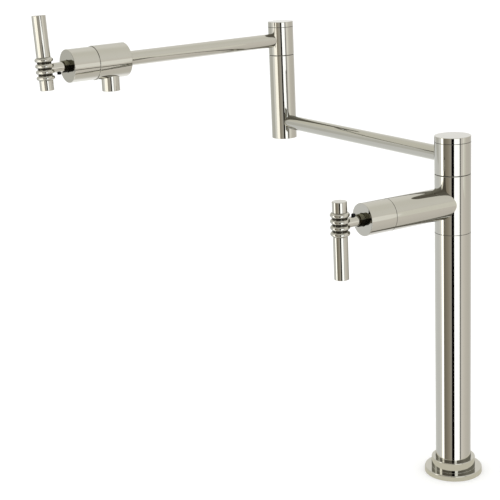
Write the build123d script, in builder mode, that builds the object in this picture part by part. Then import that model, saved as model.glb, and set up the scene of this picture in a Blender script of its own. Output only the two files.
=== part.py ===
from build123d import *
from math import cos, radians, sin
import os

os.makedirs("parts", exist_ok=True)

# Deck mount pot filler, millimetres. Z is up, the worktop is the plane Z = 0, the
# column stands on the origin and its valve branch points to -Y.

# Clearances
joint_gap = 0.05  # radial, round pieces that are screwed, brazed or turn in each other
seal_gap = 0.05  # radial, between an O-ring and the bore it seals against
groove_slack = 0.2  # on each side of an O-ring in its groove
end_play = 0.2  # along a valve's axis, between a turning piece and its housing
cut_over = 1.0  # how far a cut runs past the face that it opens
edge_break = 0.35  # bevel on the edges that meet at a seam

# Flange on the worktop
disc_dia = 57.2
disc_height = 5.5
disc_bevel = 0.8
collar_wall = 4.2
collar_height = 10.5
collar_bevel = 0.5
column_socket_floor = 4.0
flange_boss_height = 20.0
gasket_inset = 2.6
gasket_width = 5.0
gasket_thickness = 1.2

# Threaded shank and the fasteners under the worktop
shank_dia = 26.4
shank_length = 60.0
shank_bore = 11.0
shank_inset = 1.0
shank_bevel = 1.0
supply_nose_dia = 20.9
supply_nose_length = 14.0
deck_thickness = 30.0
washer_dia = 46.0
rubber_washer_thickness = 3.0
steel_washer_thickness = 1.6
nut_across_flats = 38.0
nut_thickness = 9.0
nut_bevel = 1.8

# Column
column_dia = 35.0
column_wall = 1.5
column_top = 251.0
riser_dia = 12.7
riser_wall = 1.0
riser_foot = 3.0
riser_top = 262.0

# Tee with its valve branch
tee_height = 57.2
tee_register = 8.0
branch_rise = 29.6
branch_dia = 31.0
branch_length = 78.9
waterway_dia = 10.0
gallery_dia = 5.0
gallery_radius = 11.2

# Swivels
column_swivel_bore = 22.1
elbow_swivel_bore = 17.1
swivel_gap = 0.6
swivel_washer_thickness = 0.5
washer_outer_inset = 0.6
washer_inner_inset = 0.2
arm_rise = 16.1
arm_headroom = 14.5
cap_height = 5.8
cap_skirt_depth = 1.6
cap_skirt_wall = 1.5
thread_depth = 10.0
thread_step = 1.05
spigot_wall = 3.0
spigot_crown = 1.0
port_inset = 2.0
swivel_gallery_depth = 2.3
swivel_gallery_margin = 0.1
arm_setback = 0.5
ring_seat_depth = 3.2
ring_thickness = 1.2
ring_width = 2.75
ring_groove_depth = 0.75
ring_play = 0.05
ring_room = 0.4
ring_mouth = 4.5
oring_section = 1.3
oring_sides = 8

# Arms and elbow post
arm_dia = 15.0
arm_wall = 1.6
lower_arm_reach = 285.0
lower_arm_azimuth = 181.4
post_dia = 28.0
post_bore = 21.0
post_tail = 18.6
post_height = 93.1
post_shoulder = 4.0
post_plug_thickness = 6.0
plug_bevel = 0.5
upper_arm_azimuth = 274.4

# Outlet valve and spout
outlet_body_dia = 34.8
outlet_body_start = 202.3
outlet_body_length = 36.9
outlet_body_bevel = 0.6
arm_socket_depth = 5.0
spout_dia = 18.6
spout_wall = 1.8
spout_setback = 19.4
spout_drop = 30.2
spout_bevel = 0.4
spout_port_dia = 8.0
spout_floor_wall = 1.2
straightener_recess = 2.5
straightener_height = 6.0
straightener_hole_dia = 2.0
straightener_ring_holes = (6, 12)
straightener_ring_pitch = 2.6

# Bonnets
outlet_bonnet_dia = 33.4
bonnet_length = 28.7
bonnet_floor = 6.0
bonnet_cavity_dia = 26.0
neck_gap = 0.5
nose_length = 7.0

# Quarter turn cartridges
cartridge_dia = 20.0
cartridge_nose_dia = 16.0
cartridge_waist_dia = 15.6
cartridge_neck_dia = 11.6
cartridge_bore = 12.0
cartridge_depth = 29.7
seat_length = 6.0
seat_relief = 0.2
chamber_dia = 25.0
chamber_length = 12.0
cartridge_hex = 21.0
cartridge_hex_length = 6.0
neck_proud = 5.0
neck_bevel = 0.5
disc_running_gap = 0.05
ceramic_dia = 11.8
ceramic_thickness = 3.0
ceramic_port_dia = 2.8
ceramic_port_radius = 3.3
seal_thickness = 2.4
seal_bore = 9.6
stem_dia = 8.0
stem_collar_length = 2.5
stem_tongue_length = 6.0
stem_tongue_width = 3.6
tongue_entry = 1.5
window_width = 8.0
window_margin = 0.4

# T-bar handles
hub_dia = 10.0
hub_gap = 0.3
hub_bevel = 0.4
stem_entry = 12.0
bar_standoff = 25.0
bar_dia = 14.0
bar_long_end = 52.3
bar_short_end = 21.4
bar_bevel = 0.6
hub_seat_radius = 3.5
bead_section = 4.4
bead_pitch = 5.9
bead_count = 4
screw_dia = 4.0
screw_length = 3.8
screw_bevel = 0.3
screw_flat_depth = 0.6
screw_flat_margin = 0.5
screw_socket = 2.0
screw_socket_depth = 1.4
screw_setback = 8.1
lower_handle_lean = 180.5
outlet_handle_lean = 4.4

# Bores, walls and heights worked out from the sizes above
column_bore = column_dia - 2 * column_wall
collar_dia = column_dia + 2 * collar_wall
flange_top = disc_height + collar_height
gasket_dia = disc_dia - 2 * gasket_inset
shank_hole = shank_dia + 2 * joint_gap
riser_hole = riser_dia + 2 * joint_gap
arm_bore = arm_dia - 2 * arm_wall
arm_hole = arm_dia + 2 * joint_gap
lower_bonnet_dia = branch_dia
nose_dia = bonnet_cavity_dia - 2 * joint_gap
tee_top = column_top + tee_height
branch_z = column_top + branch_rise
column_head_z = tee_top + swivel_gap
lower_arm_z = column_head_z + arm_rise
post_bottom = lower_arm_z - post_tail
post_top = post_bottom + post_height
upper_arm_z = post_top + swivel_gap + arm_rise
elbow_x = lower_arm_reach * cos(radians(lower_arm_azimuth))
elbow_y = lower_arm_reach * sin(radians(lower_arm_azimuth))
outlet_seam = outlet_body_start + outlet_body_length

# Stations along a valve's axis, from the seam of body and bonnet outwards
seat_start = -cartridge_depth
seat_end = seat_start + seat_length
chamber_end = seat_end + chamber_length
fixed_disc_start = seat_start + seal_thickness
turning_disc_start = fixed_disc_start + ceramic_thickness + disc_running_gap
turning_disc_end = turning_disc_start + ceramic_thickness
tongue_start = turning_disc_end - tongue_entry
stem_collar_start = tongue_start + stem_tongue_length
stem_collar_end = stem_collar_start + stem_collar_length
neck_end = bonnet_length + neck_proud
hub_start = neck_end + hub_gap
stem_end = hub_start + stem_entry
bar_centre = bonnet_length + bar_standoff
hub_end = bar_centre - hub_seat_radius
screw_place = bar_centre - bar_dia / 2 - screw_setback


def level(height, x=0.0, y=0.0):
    """Horizontal plane at a height, on the column's or the elbow's axis."""
    return Plane(origin=(x, y, height), x_dir=(1, 0, 0), z_dir=(0, 0, 1))


def along(azimuth, height, distance, x=0.0, y=0.0):
    """Upright plane whose normal runs outwards at an azimuth; its own Y is up."""
    run = (cos(radians(azimuth)), sin(radians(azimuth)), 0)
    side = (-run[1], run[0], 0)
    place = (x + distance * run[0], y + distance * run[1], height)
    return Plane(origin=place, x_dir=side, z_dir=run)


def normal_axis(seat):
    """The axis that stands on a plane's origin."""
    return Axis(seat.origin, seat.z_dir)


def half_plane(seat):
    """Plane through a plane's normal: its X runs along the normal, its Y is radial."""
    return Plane(seat.origin, x_dir=seat.z_dir, z_dir=seat.y_dir)


def spun(seat, angle):
    """A plane turned about its own normal."""
    side = seat.x_dir * cos(radians(angle)) + seat.y_dir * sin(radians(angle))
    return Plane(seat.origin, x_dir=side, z_dir=seat.z_dir)


def turned(seat, outline, mode=Mode.ADD):
    """Turn an outline of (distance, radius) pairs about a plane's normal."""
    with BuildSketch(half_plane(seat)) as section:
        with BuildLine():
            Polyline(*outline, close=True)
        make_face()
    revolve(section.sketch, axis=normal_axis(seat), mode=mode)


def sleeve(start, end, outer_dia, inner_dia=0.0):
    """Half section of a plain ring, tube or, without a bore, a bar."""
    outer = outer_dia / 2
    inner = inner_dia / 2
    return [(start, inner), (end, inner), (end, outer), (start, outer)]


def bevelled_sleeve(start, end, outer_dia, inner_dia, start_bevel, end_bevel):
    """Half section of a ring or tube with bevels on its two outer edges."""
    outer = outer_dia / 2
    inner = inner_dia / 2
    outline = [(start, inner), (end, inner)]
    if end_bevel:
        outline += [(end, outer - end_bevel), (end - end_bevel, outer)]
    else:
        outline += [(end, outer)]
    if start_bevel:
        outline += [(start + start_bevel, outer), (start, outer - start_bevel)]
    else:
        outline += [(start, outer)]
    return outline


def oring(seat, distance, bore_dia):
    """O-ring on a plane's normal that seals against a bore, eight sided in section."""
    minor = oring_section / 2
    with BuildSketch(half_plane(seat)) as section:
        with Locations((distance, bore_dia / 2 - seal_gap - minor)):
            RegularPolygon(minor, oring_sides, major_radius=False, rotation=180 / oring_sides)
    revolve(section.sketch, axis=normal_axis(seat))


def oring_groove(seat, distance, shaft_dia, bore_dia):
    """Groove in a shaft for an O-ring that seals against the bore round it."""
    floor_dia = bore_dia - 2 * (seal_gap + oring_section + joint_gap)
    half = oring_section / 2 + groove_slack
    turned(
        seat,
        sleeve(distance - half, distance + half, shaft_dia + cut_over, floor_dia),
        Mode.SUBTRACT,
    )


def save(piece, node):
    piece.part.label = node
    export_step(piece.part, f"parts/{node}.step")


# Flange: a thin disc with a collar, an inner boss for the shank's thread and an
# annular socket that the column tube stands in
worktop = level(0)
column_socket_dia = column_dia + 2 * joint_gap
boss_dia = column_bore - 2 * joint_gap
gasket_bore = gasket_dia - 2 * gasket_width
with BuildPart() as base_flange:
    turned(worktop, bevelled_sleeve(0, disc_height, disc_dia, shank_hole, 0, disc_bevel))
    turned(worktop, bevelled_sleeve(0, flange_top, collar_dia, shank_hole, 0, collar_bevel))
    over_boss = sleeve(flange_top - cut_over, flange_boss_height, column_socket_dia, shank_hole)
    turned(worktop, over_boss)
    socket = sleeve(column_socket_floor, flange_boss_height, column_socket_dia, boss_dia)
    turned(worktop, socket, Mode.SUBTRACT)
    turned(worktop, sleeve(0, gasket_thickness, gasket_dia, gasket_bore), Mode.SUBTRACT)
save(base_flange, "base_flange")

with BuildPart() as flange_gasket:
    turned(
        worktop,
        sleeve(0, gasket_thickness, gasket_dia - 2 * joint_gap, gasket_bore + 2 * joint_gap),
    )
save(flange_gasket, "flange_gasket")

# Shank: stands in the flange's boss, holds the riser in its counterbore and ends in
# the nose that the supply hose screws on
shank_top = flange_boss_height - shank_inset
nose_end = -shank_length - supply_nose_length
with BuildPart() as threaded_shank:
    shank = bevelled_sleeve(
        -shank_length, shank_top, shank_dia, shank_bore, shank_bevel, shank_bevel
    )
    turned(worktop, shank)
    supply_nose = bevelled_sleeve(
        nose_end, -shank_length, supply_nose_dia, shank_bore, shank_bevel, 0
    )
    turned(worktop, supply_nose)
    turned(worktop, sleeve(riser_foot, shank_top, riser_hole), Mode.SUBTRACT)
save(threaded_shank, "threaded_shank")

rubber_bottom = -deck_thickness - rubber_washer_thickness
steel_bottom = rubber_bottom - steel_washer_thickness
nut_bottom = steel_bottom - nut_thickness
with BuildPart() as rubber_washer:
    turned(worktop, sleeve(rubber_bottom, -deck_thickness, washer_dia, shank_hole))
save(rubber_washer, "rubber_washer")

with BuildPart() as steel_washer:
    turned(worktop, sleeve(steel_bottom, rubber_bottom, washer_dia, shank_hole))
save(steel_washer, "steel_washer")

with BuildPart() as mounting_nut:
    with BuildSketch(level(nut_bottom)) as hexagon:
        RegularPolygon(nut_across_flats / 2, 6, major_radius=False)
        Circle(shank_hole / 2, mode=Mode.SUBTRACT)
    extrude(hexagon.sketch, amount=nut_thickness)
    corner_radius = nut_across_flats / cos(radians(30)) / 2
    corner_bevel = [
        (nut_bottom, nut_across_flats / 2),
        (nut_bottom, corner_radius + cut_over),
        (nut_bottom + nut_bevel, corner_radius + cut_over),
    ]
    turned(worktop, corner_bevel, Mode.SUBTRACT)
save(mounting_nut, "mounting_nut")

# Column tube and the riser inside it
with BuildPart() as column_tube:
    tube = bevelled_sleeve(
        column_socket_floor, column_top, column_dia, column_bore, 0, edge_break
    )
    turned(worktop, tube)
save(column_tube, "column_tube")

with BuildPart() as riser_tube:
    turned(worktop, sleeve(riser_foot, riser_top, riser_dia, riser_dia - 2 * riser_wall))
save(riser_tube, "riser_tube")


def bore_for_cartridge(seam):
    """Nose for the bonnet, with the stepped bore and ring shaped chamber behind it."""
    turned(seam, sleeve(0, nose_length, nose_dia))
    seat_hole = cartridge_nose_dia + 2 * joint_gap
    body_hole = cartridge_dia + 2 * joint_gap
    turned(seam, sleeve(seat_start, nose_length, seat_hole), Mode.SUBTRACT)
    turned(seam, sleeve(seat_end, chamber_end, chamber_dia), Mode.SUBTRACT)
    turned(seam, sleeve(chamber_end, nose_length, body_hole), Mode.SUBTRACT)


# Tee: upright barrel with a register in the column, the valve branch with its nose,
# and the waterways: up from the riser to the cartridge's seat, and back from its
# chamber through a gallery to the swivel above
branch_root = along(270, branch_z, 0)
lower_seam = along(270, branch_z, branch_length)
column_thread_dia = column_swivel_bore - 2 * thread_step
with BuildPart() as tee_body:
    barrel = bevelled_sleeve(column_top, tee_top, column_dia, 0, edge_break, edge_break)
    turned(worktop, barrel)
    turned(worktop, sleeve(column_top - tee_register, column_top, boss_dia))
    turned(branch_root, bevelled_sleeve(0, branch_length, branch_dia, 0, 0, edge_break))
    bore_for_cartridge(lower_seam)
    turned(worktop, sleeve(column_top - tee_register, riser_top, riser_hole), Mode.SUBTRACT)
    turned(worktop, sleeve(riser_top, branch_z + waterway_dia / 2, waterway_dia), Mode.SUBTRACT)
    turned(branch_root, sleeve(0, branch_length + seat_start, waterway_dia), Mode.SUBTRACT)
    gallery_end = branch_length + seat_end + cut_over
    gallery_line = along(270, branch_z + gallery_radius, 0)
    turned(gallery_line, sleeve(0, gallery_end, gallery_dia), Mode.SUBTRACT)
    upper_waterway = branch_z + gallery_radius - gallery_dia / 2
    turned(worktop, sleeve(upper_waterway, tee_top, waterway_dia), Mode.SUBTRACT)
    turned(worktop, sleeve(tee_top - thread_depth, tee_top, column_thread_dia), Mode.SUBTRACT)
save(tee_body, "tee_body")


def make_swivel(name, foot, outer_dia, bore_dia, azimuth):
    """Swivel on a fixed foot: spigot, its seals, head, ring and cap."""
    spigot_dia = bore_dia - 2 * joint_gap
    thread_dia = bore_dia - 2 * thread_step
    head_start = swivel_gap
    port_height = head_start + arm_rise
    head_end = port_height + arm_headroom
    ring_floor = head_end - ring_seat_depth
    ring_start = ring_floor + ring_play
    ring_end = ring_start + ring_thickness
    gallery_half = arm_bore / 2 + swivel_gallery_margin
    gallery_start = port_height - gallery_half
    gallery_end = port_height + gallery_half
    seal_heights = ((head_start + gallery_start) / 2, (gallery_end + ring_floor) / 2)

    def sideways(turn):
        return along(turn, foot.origin.Z + port_height, 0, foot.origin.X, foot.origin.Y)

    with BuildPart() as spigot:
        turned(foot, sleeve(-thread_depth, 0, thread_dia - 2 * joint_gap))
        spigot_end = ring_end + spigot_crown
        turned(foot, bevelled_sleeve(0, spigot_end, spigot_dia, 0, 0, edge_break))
        spigot_bore = thread_dia - 2 * spigot_wall
        turned(foot, sleeve(-thread_depth, gallery_end, spigot_bore), Mode.SUBTRACT)
        port_dia = arm_bore - 2 * port_inset
        for turn in (azimuth, azimuth + 90):
            across = sleeve(-spigot_dia, spigot_dia, port_dia)
            turned(sideways(turn), across, Mode.SUBTRACT)
        for height in seal_heights:
            oring_groove(foot, height, spigot_dia, bore_dia)
        groove_floor_dia = spigot_dia - 2 * ring_groove_depth
        ring_groove = sleeve(
            ring_floor, ring_end + ring_play, spigot_dia + cut_over, groove_floor_dia
        )
        turned(foot, ring_groove, Mode.SUBTRACT)
    save(spigot, f"{name}_spigot")

    with BuildPart() as orings:
        for height in seal_heights:
            oring(foot, height, bore_dia)
    save(orings, f"{name}_spigot_orings")

    with BuildPart() as washer:
        washer_outer = outer_dia - 2 * washer_outer_inset
        washer_inner = bore_dia + 2 * washer_inner_inset
        turned(foot, sleeve(0, swivel_washer_thickness, washer_outer, washer_inner))
    save(washer, f"{name}_swivel_washer")

    ring_bore = groove_floor_dia + 2 * joint_gap
    ring_dia = ring_bore + 2 * ring_width
    with BuildPart() as ring:
        turned(foot, sleeve(ring_start, ring_end, ring_dia, ring_bore))
        with BuildSketch(foot.offset(ring_start)) as mouth:
            Rectangle(ring_mouth, ring_dia, align=(Align.CENTER, Align.MIN))
        extrude(mouth.sketch, amount=ring_thickness, mode=Mode.SUBTRACT)
    save(ring, f"{name}_retaining_ring")

    ring_seat_dia = ring_dia + 2 * ring_room
    gallery_outer = bore_dia + 2 * swivel_gallery_depth
    arm_end = gallery_outer / 2 + arm_setback
    with BuildPart() as head:
        shell = bevelled_sleeve(
            head_start, head_end, outer_dia, bore_dia, edge_break, edge_break
        )
        turned(foot, shell)
        turned(foot, sleeve(ring_floor, head_end, ring_seat_dia), Mode.SUBTRACT)
        turned(foot, sleeve(gallery_start, gallery_end, gallery_outer), Mode.SUBTRACT)
        side = sideways(azimuth)
        turned(side, sleeve(arm_end, outer_dia, arm_hole), Mode.SUBTRACT)
        turned(side, sleeve(bore_dia / 2, arm_end, arm_bore), Mode.SUBTRACT)
    save(head, f"{name}_head")

    with BuildPart() as cap:
        cap_end = head_end + cap_height
        turned(foot, bevelled_sleeve(head_end, cap_end, outer_dia, 0, edge_break, edge_break))
        skirt_dia = ring_seat_dia - 2 * joint_gap
        skirt_bore = skirt_dia - 2 * cap_skirt_wall
        turned(foot, sleeve(head_end - cap_skirt_depth, head_end, skirt_dia, skirt_bore))
    save(cap, f"{name}_cap")
    return arm_end


# Column swivel, lower arm and elbow post
column_arm_end = make_swivel(
    "column", level(tee_top), column_dia, column_swivel_bore, lower_arm_azimuth
)

arm_stop = post_bore / 2 + arm_setback
with BuildPart() as lower_arm:
    lower_run = along(lower_arm_azimuth, lower_arm_z, 0)
    turned(lower_run, sleeve(column_arm_end, lower_arm_reach - arm_stop, arm_dia, arm_bore))
save(lower_arm, "lower_arm")

post_foot = level(0, elbow_x, elbow_y)
thread_floor = post_top - thread_depth
bore_top = thread_floor - post_shoulder
with BuildPart() as elbow_post:
    post = bevelled_sleeve(post_bottom, post_top, post_dia, 0, edge_break, edge_break)
    turned(post_foot, post)
    turned(post_foot, sleeve(post_bottom, bore_top, post_bore), Mode.SUBTRACT)
    elbow_thread_dia = elbow_swivel_bore - 2 * thread_step
    turned(post_foot, sleeve(bore_top, post_top, elbow_thread_dia), Mode.SUBTRACT)
    elbow_side = along(lower_arm_azimuth, lower_arm_z, 0, elbow_x, elbow_y)
    turned(elbow_side, sleeve(-post_dia, -arm_stop, arm_hole), Mode.SUBTRACT)
    turned(elbow_side, sleeve(-arm_stop, 0, arm_bore), Mode.SUBTRACT)
save(elbow_post, "elbow_post")

with BuildPart() as elbow_post_plug:
    plug_top = post_bottom + post_plug_thickness
    plug_dia = post_bore - 2 * joint_gap
    turned(post_foot, bevelled_sleeve(post_bottom, plug_top, plug_dia, 0, plug_bevel, 0))
save(elbow_post_plug, "elbow_post_plug")

# Elbow swivel and upper arm
elbow_arm_end = make_swivel(
    "elbow", level(post_top, elbow_x, elbow_y), post_dia, elbow_swivel_bore, upper_arm_azimuth
)

arm_tip = outlet_body_start + arm_socket_depth
upper_run = along(upper_arm_azimuth, upper_arm_z, 0, elbow_x, elbow_y)
with BuildPart() as upper_arm:
    turned(upper_run, sleeve(elbow_arm_end, arm_tip, arm_dia, arm_bore))
save(upper_arm, "upper_arm")

# Outlet valve body: socket for the arm, seat and chamber for the cartridge, port and
# socket for the spout below
outlet_seam_plane = upper_run.offset(outlet_seam)
spout_top = upper_run.offset(outlet_seam - spout_setback).origin
spout_line = level(upper_arm_z, spout_top.X, spout_top.Y)
spout_socket = chamber_dia / 2 + spout_floor_wall
with BuildPart() as outlet_valve_body:
    barrel = bevelled_sleeve(
        outlet_body_start, outlet_seam, outlet_body_dia, 0, outlet_body_bevel, edge_break
    )
    turned(upper_run, barrel)
    bore_for_cartridge(outlet_seam_plane)
    turned(upper_run, sleeve(outlet_body_start, arm_tip, arm_hole), Mode.SUBTRACT)
    turned(upper_run, sleeve(arm_tip, outlet_seam + seat_start, waterway_dia), Mode.SUBTRACT)
    spout_hole = sleeve(-outlet_body_dia, -spout_socket, spout_dia + 2 * joint_gap)
    turned(spout_line, spout_hole, Mode.SUBTRACT)
    turned(spout_line, sleeve(-spout_socket, -cartridge_dia / 2, spout_port_dia), Mode.SUBTRACT)
save(outlet_valve_body, "outlet_valve_body")

spout_bore = spout_dia - 2 * spout_wall
with BuildPart() as spout:
    tube = bevelled_sleeve(-spout_drop, -spout_socket, spout_dia, spout_bore, spout_bevel, 0)
    turned(spout_line, tube)
save(spout, "spout")

with BuildPart() as flow_straightener:
    with BuildSketch(spout_line.offset(straightener_recess - spout_drop)) as plate:
        Circle(spout_bore / 2 - joint_gap)
        Circle(straightener_hole_dia / 2, mode=Mode.SUBTRACT)
        for ring_number, holes in enumerate(straightener_ring_holes, start=1):
            with PolarLocations(straightener_ring_pitch * ring_number, holes):
                Circle(straightener_hole_dia / 2, mode=Mode.SUBTRACT)
    extrude(plate.sketch, amount=straightener_height)
save(flow_straightener, "flow_straightener")


def make_valve(name, seam, bonnet_dia, lean):
    """Bonnet, quarter turn cartridge and T-bar handle on a valve seam."""
    neck_hole = cartridge_neck_dia + 2 * neck_gap
    with BuildPart() as bonnet:
        shell = bevelled_sleeve(
            0, bonnet_length, bonnet_dia, neck_hole, edge_break, edge_break
        )
        turned(seam, shell)
        turned(seam, sleeve(0, bonnet_length - bonnet_floor, bonnet_cavity_dia), Mode.SUBTRACT)
    save(bonnet, f"{name}_bonnet")

    # Bore diameters that the cartridge's two O-rings and the stem's one seal against
    seat_hole = cartridge_nose_dia + 2 * joint_gap
    body_hole = cartridge_dia + 2 * joint_gap
    stem_hole = stem_dia + 2 * joint_gap
    nose_seal = (seat_start + seat_end) / 2
    body_seal = (chamber_end + nose_length) / 2
    stem_seal = (stem_collar_end + neck_end) / 2
    with BuildPart() as cartridge:
        flange_end = nose_length + cartridge_hex_length
        turned(seam, sleeve(seat_start + seat_relief, seat_end, cartridge_nose_dia))
        turned(seam, sleeve(seat_end, chamber_end, cartridge_waist_dia))
        turned(seam, sleeve(chamber_end, nose_length, cartridge_dia))
        with BuildSketch(seam.offset(nose_length)) as hexagon:
            RegularPolygon(cartridge_hex / 2, 6, major_radius=False)
        extrude(hexagon.sketch, amount=cartridge_hex_length)
        turned(seam, bevelled_sleeve(flange_end, neck_end, cartridge_neck_dia, 0, 0, neck_bevel))
        turned(seam, sleeve(seat_start, stem_collar_end + end_play, cartridge_bore), Mode.SUBTRACT)
        turned(seam, sleeve(stem_collar_end, neck_end, stem_hole), Mode.SUBTRACT)
        window_start = turning_disc_end + end_play
        window_end = stem_collar_start - window_margin
        with BuildSketch(seam.offset(window_start)) as window:
            Rectangle(chamber_dia, window_width)
        extrude(window.sketch, amount=window_end - window_start, mode=Mode.SUBTRACT)
        oring_groove(seam, nose_seal, cartridge_nose_dia, seat_hole)
        oring_groove(seam, body_seal, cartridge_dia, body_hole)
    save(cartridge, f"{name}_cartridge_body")

    with BuildPart() as orings:
        oring(seam, nose_seal, seat_hole)
        oring(seam, body_seal, body_hole)
    save(orings, f"{name}_cartridge_orings")

    with BuildPart() as seat_seal:
        turned(seam, sleeve(seat_start, fixed_disc_start, ceramic_dia, seal_bore))
    save(seat_seal, f"{name}_seat_seal")

    with BuildPart() as fixed_disc:
        with BuildSketch(seam.offset(fixed_disc_start)) as ceramic:
            Circle(ceramic_dia / 2)
            with PolarLocations(ceramic_port_radius, 2, start_angle=0):
                Circle(ceramic_port_dia / 2, mode=Mode.SUBTRACT)
        extrude(ceramic.sketch, amount=ceramic_thickness)
    save(fixed_disc, f"{name}_fixed_disc")

    with BuildPart() as turning_disc:
        with BuildSketch(seam.offset(turning_disc_start)) as ceramic:
            Circle(ceramic_dia / 2)
            with PolarLocations(ceramic_port_radius, 2, start_angle=90):
                Circle(ceramic_port_dia / 2, mode=Mode.SUBTRACT)
        extrude(ceramic.sketch, amount=ceramic_thickness)
        with BuildSketch(seam.offset(tongue_start)) as key:
            Rectangle(ceramic_dia, stem_tongue_width + 2 * joint_gap)
        extrude(key.sketch, amount=tongue_entry, mode=Mode.SUBTRACT)
    save(turning_disc, f"{name}_turning_disc")

    # The handle's own frame: its normal is the valve's axis and its Y runs along the
    # bar towards the long end
    handle = spun(seam, lean)
    flat_radius = stem_dia / 2 - screw_flat_depth
    with BuildPart() as stem:
        turned(seam, sleeve(stem_collar_end, stem_end, stem_dia))
        turned(seam, sleeve(stem_collar_start, stem_collar_end, ceramic_dia))
        with BuildSketch(seam.offset(tongue_start + joint_gap)) as tongue:
            Circle(ceramic_dia / 2)
            Rectangle(ceramic_dia, stem_tongue_width, mode=Mode.INTERSECT)
        extrude(tongue.sketch, amount=stem_tongue_length)
        oring_groove(seam, stem_seal, stem_dia, stem_hole)
        flat_start = screw_place - screw_dia / 2 - screw_flat_margin
        with BuildSketch(handle.offset(flat_start)) as flat:
            with Locations((0, -flat_radius)):
                Rectangle(stem_dia, stem_dia, align=(Align.CENTER, Align.MAX))
        extrude(flat.sketch, amount=stem_end - flat_start, mode=Mode.SUBTRACT)
    save(stem, f"{name}_cartridge_stem")

    with BuildPart() as stem_oring:
        oring(seam, stem_seal, stem_hole)
    save(stem_oring, f"{name}_stem_oring")

    centre = handle.offset(bar_centre)
    bar_seat = Plane(centre.origin, x_dir=handle.x_dir, z_dir=handle.y_dir)
    with BuildPart() as bar:
        with BuildSketch(half_plane(bar_seat)) as half:
            with BuildLine():
                outline = bevelled_sleeve(
                    -bar_short_end, bar_long_end, bar_dia, 0, bar_bevel, bar_bevel
                )
                Polyline(*outline, close=True)
            make_face()
            for number in range(bead_count):
                bead_place = (number - (bead_count - 1) / 2) * bead_pitch
                with Locations((bead_place, bar_dia / 2)):
                    Circle(bead_section / 2)
        revolve(half.sketch, axis=normal_axis(bar_seat))
        hub_seat = sleeve(bar_centre - bar_dia, hub_end, hub_dia + 2 * joint_gap)
        turned(seam, hub_seat, Mode.SUBTRACT)
    save(bar, f"{name}_handle_bar")

    screw_origin = handle.offset(screw_place).origin
    screw_line = Plane(screw_origin, x_dir=handle.x_dir, z_dir=-handle.y_dir)
    with BuildPart() as hub:
        turned(seam, bevelled_sleeve(hub_start, hub_end, hub_dia, 0, hub_bevel, 0))
        turned(seam, sleeve(hub_start, stem_end + end_play, stem_hole), Mode.SUBTRACT)
        turned(screw_line, sleeve(0, hub_dia, screw_dia + 2 * joint_gap), Mode.SUBTRACT)
    save(hub, f"{name}_handle_hub")

    with BuildPart() as screw:
        tip = flat_radius + joint_gap
        head = tip + screw_length
        turned(screw_line, bevelled_sleeve(tip, head, screw_dia, 0, screw_bevel, screw_bevel))
        with BuildSketch(screw_line.offset(head)) as key:
            RegularPolygon(screw_socket / 2, 6, major_radius=False)
        extrude(key.sketch, amount=-screw_socket_depth, mode=Mode.SUBTRACT)
    save(screw, f"{name}_handle_screw")


make_valve("lower", lower_seam, lower_bonnet_dia, lower_handle_lean)
make_valve("outlet", outlet_seam_plane, outlet_bonnet_dia, outlet_handle_lean)
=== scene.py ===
import bpy
import math
import numpy as np
from mathutils import Matrix


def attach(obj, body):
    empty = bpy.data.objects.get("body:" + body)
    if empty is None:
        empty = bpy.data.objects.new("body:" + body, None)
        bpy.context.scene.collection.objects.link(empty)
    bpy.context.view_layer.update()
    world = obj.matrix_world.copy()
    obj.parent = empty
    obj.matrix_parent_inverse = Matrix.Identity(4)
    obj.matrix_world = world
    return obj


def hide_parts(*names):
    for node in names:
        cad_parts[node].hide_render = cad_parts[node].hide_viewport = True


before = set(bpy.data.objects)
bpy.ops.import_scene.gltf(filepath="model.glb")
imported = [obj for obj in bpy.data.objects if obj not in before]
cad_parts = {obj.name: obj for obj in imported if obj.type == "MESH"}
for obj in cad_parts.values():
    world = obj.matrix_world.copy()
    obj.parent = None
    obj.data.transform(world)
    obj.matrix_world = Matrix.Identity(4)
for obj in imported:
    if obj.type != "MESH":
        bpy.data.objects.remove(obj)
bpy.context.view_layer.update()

# Sizes in the dictionaries are millimetres and degrees; meshes are in metres.
metre = 0.001
fineEdge = 0.1  # softness of the edges that hardly show
roundSteps, smallSteps = 192, 128  # facets round the large and the small turned pieces

places = {
    "branchAzimuth": 270, "branchHeight": 280.6, "branchSeam": 78.9,
    "lowerArmAzimuth": 181.4, "lowerArmHeight": 324.9, "armReach": 285.0,
    "upperArmAzimuth": 274.4, "upperArmHeight": 416.1,
    "outletSeam": 239.2, "spoutReach": 219.8,
    "lowerHandleLean": 180.5, "outletHandleLean": 4.4,
    "cameraAzimuth": -40.05,
}


def unit(vector):
    # The vector divided by its length.
    vector = np.asarray(vector, float)
    return vector / np.linalg.norm(vector)


def seatAt(point, axis, up):
    # Where a piece stands and which way it points, with across = up x axis.
    axis, up = unit(axis), unit(up)
    across = np.cross(up, axis)
    return {"point": np.asarray(point, float), "axis": axis, "up": up, "across": across}


def level(height, foot=(0, 0)):
    # Seat at a height on the upright line through the foot.
    return seatAt((foot[0], foot[1], height), (0, 0, 1), (0, 1, 0))


def along(azimuth, height, distance, foot=(0, 0)):
    # Point at a distance from the foot in the azimuth's direction, facing outwards.
    angle = math.radians(azimuth)
    run = np.array([math.cos(angle), math.sin(angle), 0])
    point = np.array([foot[0], foot[1], height]) + distance * run
    return seatAt(point, run, (0, 0, 1))


def handleSeat(seam, lean, distance):
    # Seat on the valve's axis, facing along the bar: cos(lean) x up - sin(lean) x across.
    turn = math.radians(lean)
    bar = -seam["across"] * math.sin(turn) + seam["up"] * math.cos(turn)
    return seatAt(seam["point"] + distance * seam["axis"], bar, seam["axis"])


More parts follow.
